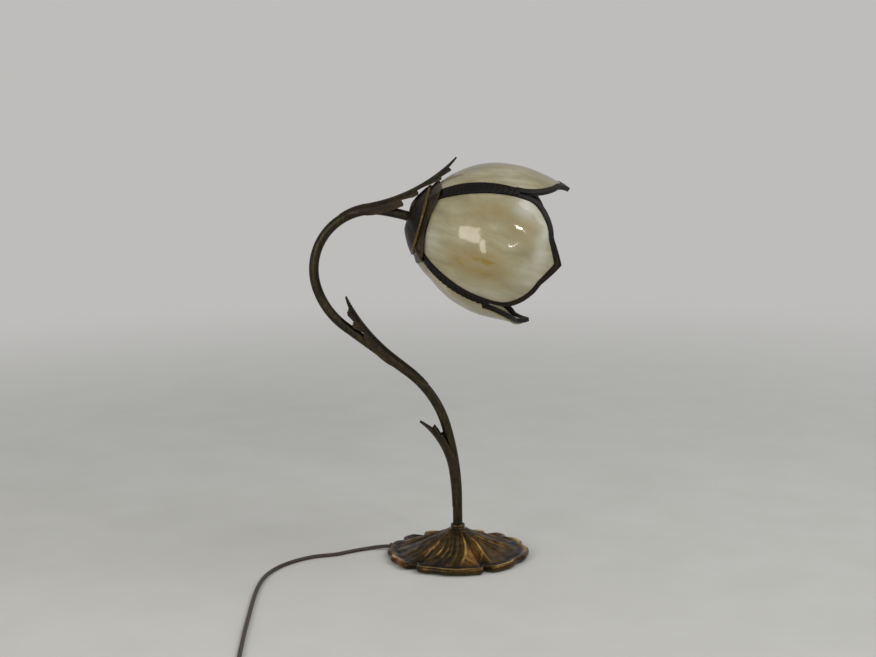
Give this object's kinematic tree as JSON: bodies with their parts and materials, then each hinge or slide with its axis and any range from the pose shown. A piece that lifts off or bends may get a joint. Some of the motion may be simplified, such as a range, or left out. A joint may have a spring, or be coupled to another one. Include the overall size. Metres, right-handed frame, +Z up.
{
  "type": "table lamp",
  "caption": "Table lamp with a hanging tulip shade of bent glass petals, a leafed stem bent like a swan's neck, and a cast lily-pad base",
  "frame": {"origin": "middle of the base, on the surface that the lamp stands on", "axes": "+Z up, +X the way the tulip points, -Y the front that the picture shows"},
  "size_m": [0.3226, 0.4915, 0.4189],
  "materials": {
    "pad_metal": "cast metal with a dark brown patina, rubbed golden on the raised places",
    "stem_metal": "dark olive-brown patina, satin",
    "leaf_metal": "cast, dark brown patina",
    "felt": "green felt",
    "plated_steel": "zinc or nickel plated",
    "brass": "bare brass",
    "slag_glass": "bent slag glass, creamy green-grey with amber streaks, glossy",
    "came": "lead and copper edging with a near-black patina",
    "holder_plastic": "cream moulded",
    "bulb_glass": "frosted",
    "dark_plastic": "black moulded",
    "switch_plastic": "dark brown moulded",
    "rocker_plastic": "dark brown moulded, glossy",
    "cord": "dark brown flexible sleeve"
  },
  "bodies": {
    "lamp": {"base_casting": "pad_metal", "base_felt": "felt", "cord_grommet": "dark_plastic", "hub_bush": "plated_steel", "hub_washer": "plated_steel", "hub_nut": "plated_steel", "stem_collar": "stem_metal", "stem_tube": "stem_metal", "leaf_lower": "leaf_metal", "leaf_middle": "leaf_metal", "leaf_upper": "leaf_metal", "stem_lead": "cord", "calyx_cap": "stem_metal", "calyx_nut": "plated_steel", "gallery_nut": "plated_steel", "shade_gallery": "brass", "glass_front": "slag_glass", "glass_top": "slag_glass", "glass_back": "slag_glass", "glass_bottom": "slag_glass", "came_front": "came", "came_top": "came", "came_back": "came", "came_bottom": "came", "band_front_top": "came", "band_back_top": "came", "band_back_bottom": "came", "band_front_bottom": "came", "holder_body": "holder_plastic", "holder_thread": "brass", "holder_contact": "brass", "under_lead": "cord", "cord_run": "cord", "switch_base": "switch_plastic", "switch_cover": "switch_plastic", "switch_screws": "plated_steel", "switch_contacts": "brass", "cord_link": "cord", "cord_coil": "cord", "cord_tail": "cord", "plug_relief": "switch_plastic", "plug_body": "switch_plastic", "plug_sleeves": "dark_plastic", "plug_pins": "plated_steel"},
    "bulb": {"bulb_cap": "plated_steel", "bulb_insulator": "dark_plastic", "bulb_glass": "bulb_glass"},
    "rocker": {"switch_rocker": "rocker_plastic"}
  },
  "joints": [
    {"name": "bulb_thread", "type": "hinge", "parent": "lamp", "child": "bulb", "pos_m": [-0.03449, 0, 0.35547], "axis": [0.9613, 0, -0.2756], "range_deg": [0, 1800]},
    {"name": "rocker_tip", "type": "hinge", "parent": "lamp", "child": "rocker", "pos_m": [-0.087, -0.3985, 0.0128], "axis": [0, 1, 0], "range_deg": [0, 16]}
  ]
}
